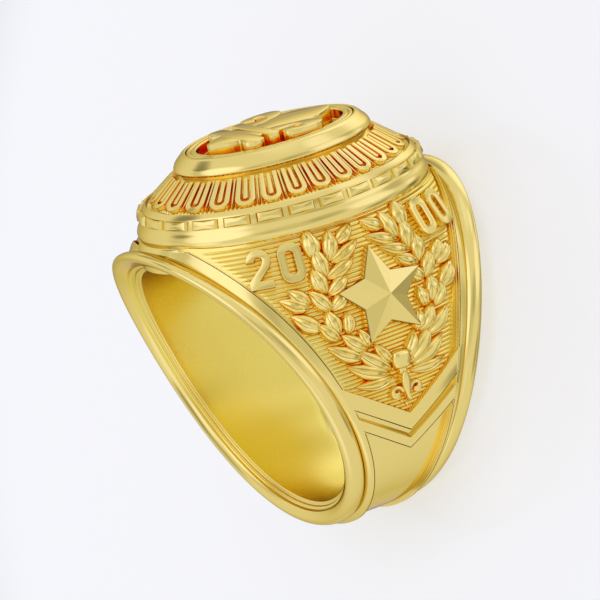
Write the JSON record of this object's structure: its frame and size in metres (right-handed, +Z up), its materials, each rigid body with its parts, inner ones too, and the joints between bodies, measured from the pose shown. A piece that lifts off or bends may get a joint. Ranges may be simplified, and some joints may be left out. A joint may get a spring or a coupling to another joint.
{
  "type": "class ring",
  "caption": "Gold class ring on its side, with flared moulded rims, laurel and star shoulder panels, chevrons, a brick-edged oval crown and a raised emblem plate.",
  "frame": {"origin": "middle of the finger hole, on its axis", "axes": "+Z up from the surface the ring lies on; the crown points along +Y and a little up, and X runs through the two shoulders"},
  "size_m": [0.0234, 0.0291, 0.0225],
  "materials": {
    "ring_gold": "polished yellow gold",
    "plate_gold": "polished yellow gold"
  },
  "bodies": {
    "root": {"ring_body": "ring_gold", "emblem_plate": "plate_gold"}
  },
  "joints": []
}
